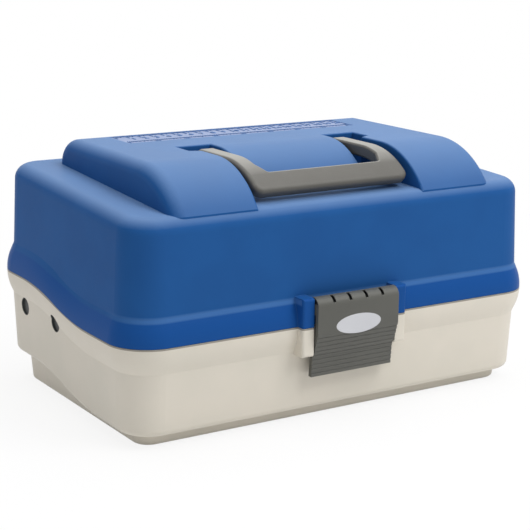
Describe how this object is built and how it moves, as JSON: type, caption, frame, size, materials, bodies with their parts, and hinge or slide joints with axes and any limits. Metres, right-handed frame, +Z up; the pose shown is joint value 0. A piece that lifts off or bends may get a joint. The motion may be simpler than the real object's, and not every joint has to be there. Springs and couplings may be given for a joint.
{
  "type": "tackle box",
  "caption": "Portable tackle box: a deep base, a latched lid with a folding carry handle and a moulded ruler, and trays that rise on cantilever arms as the lid opens.",
  "frame": {"origin": "centre of the box's footprint, on the surface it stands on", "axes": "+X to the right seen from the latch side, +Y to the hinges, +Z up"},
  "size_m": [0.36, 0.2482, 0.19],
  "materials": {
    "lid": "satin",
    "tub": "satin",
    "latch": "satin",
    "handle": "satin",
    "badge": "gloss",
    "arm": "satin",
    "tray": "satin",
    "divider": "satin",
    "steel": "brushed"
  },
  "bodies": {
    "base": {"base_tub": "tub", "hinge_rod_left": "steel", "hinge_rod_right": "steel"},
    "lid": {"lid_shell": "lid", "latch_rod": "steel", "lid_guide_left": "arm", "lid_guide_right": "arm", "guide_screws": "steel"},
    "latch": {"latch_flap": "latch", "latch_badge": "badge"},
    "handle": {"carry_handle": "handle"},
    "rear_arms": {"rear_arm_left": "arm", "rear_arm_right": "arm"},
    "front_arms": {"front_arm_left": "arm", "front_arm_right": "arm"},
    "lower_tray_set": {"lower_tray": "tray", "lower_divider_1": "divider", "lower_divider_2": "divider", "lower_divider_3": "divider"},
    "upper_tray_set": {"upper_tray": "tray", "guide_pin_left": "steel", "guide_pin_right": "steel", "upper_divider_1": "divider", "upper_divider_2": "divider", "upper_divider_3": "divider", "upper_divider_4": "divider"}
  },
  "joints": [
    {"name": "lid_hinge", "type": "hinge", "parent": "base", "child": "lid", "pos_m": [0, 0.1193, 0.0895], "axis": [-1, 0, 0], "range_deg": [0, 105]},
    {"name": "latch_flip", "type": "hinge", "parent": "lid", "child": "latch", "pos_m": [0, -0.1172, 0.0897], "axis": [-1, 0, 0], "range_deg": [0, 100]},
    {"name": "handle_fold", "type": "hinge", "parent": "lid", "child": "handle", "pos_m": [0, -0.0096, 0.1837], "axis": [-1, 0, 0], "range_deg": [0, 105]},
    {"name": "rear_arm_swing", "type": "hinge", "parent": "base", "child": "rear_arms", "pos_m": [0, 0.06599, 0.065], "axis": [-1, 0, 0], "range_deg": [0, 78.75]},
    {"name": "front_arm_swing", "type": "hinge", "parent": "base", "child": "front_arms", "pos_m": [0, 0.01198, 0.065], "axis": [-1, 0, 0], "range_deg": [0, 78.75]},
    {"name": "lower_tray_level", "type": "hinge", "parent": "rear_arms", "child": "lower_tray_set", "pos_m": [0, 0.01333, 0.0895], "axis": [-1, 0, 0], "range_deg": [-78.75, 0]},
    {"name": "upper_tray_level", "type": "hinge", "parent": "rear_arms", "child": "upper_tray_set", "pos_m": [0, -0.02463, 0.1308], "axis": [-1, 0, 0], "range_deg": [-78.75, 0]}
  ],
  "couplings": [
    {"joint": "rear_arm_swing", "follows": "lid_hinge", "ratio": 0.75},
    {"joint": "front_arm_swing", "follows": "lid_hinge", "ratio": 0.75},
    {"joint": "lower_tray_level", "follows": "lid_hinge", "ratio": -0.75},
    {"joint": "upper_tray_level", "follows": "lid_hinge", "ratio": -0.75}
  ]
}
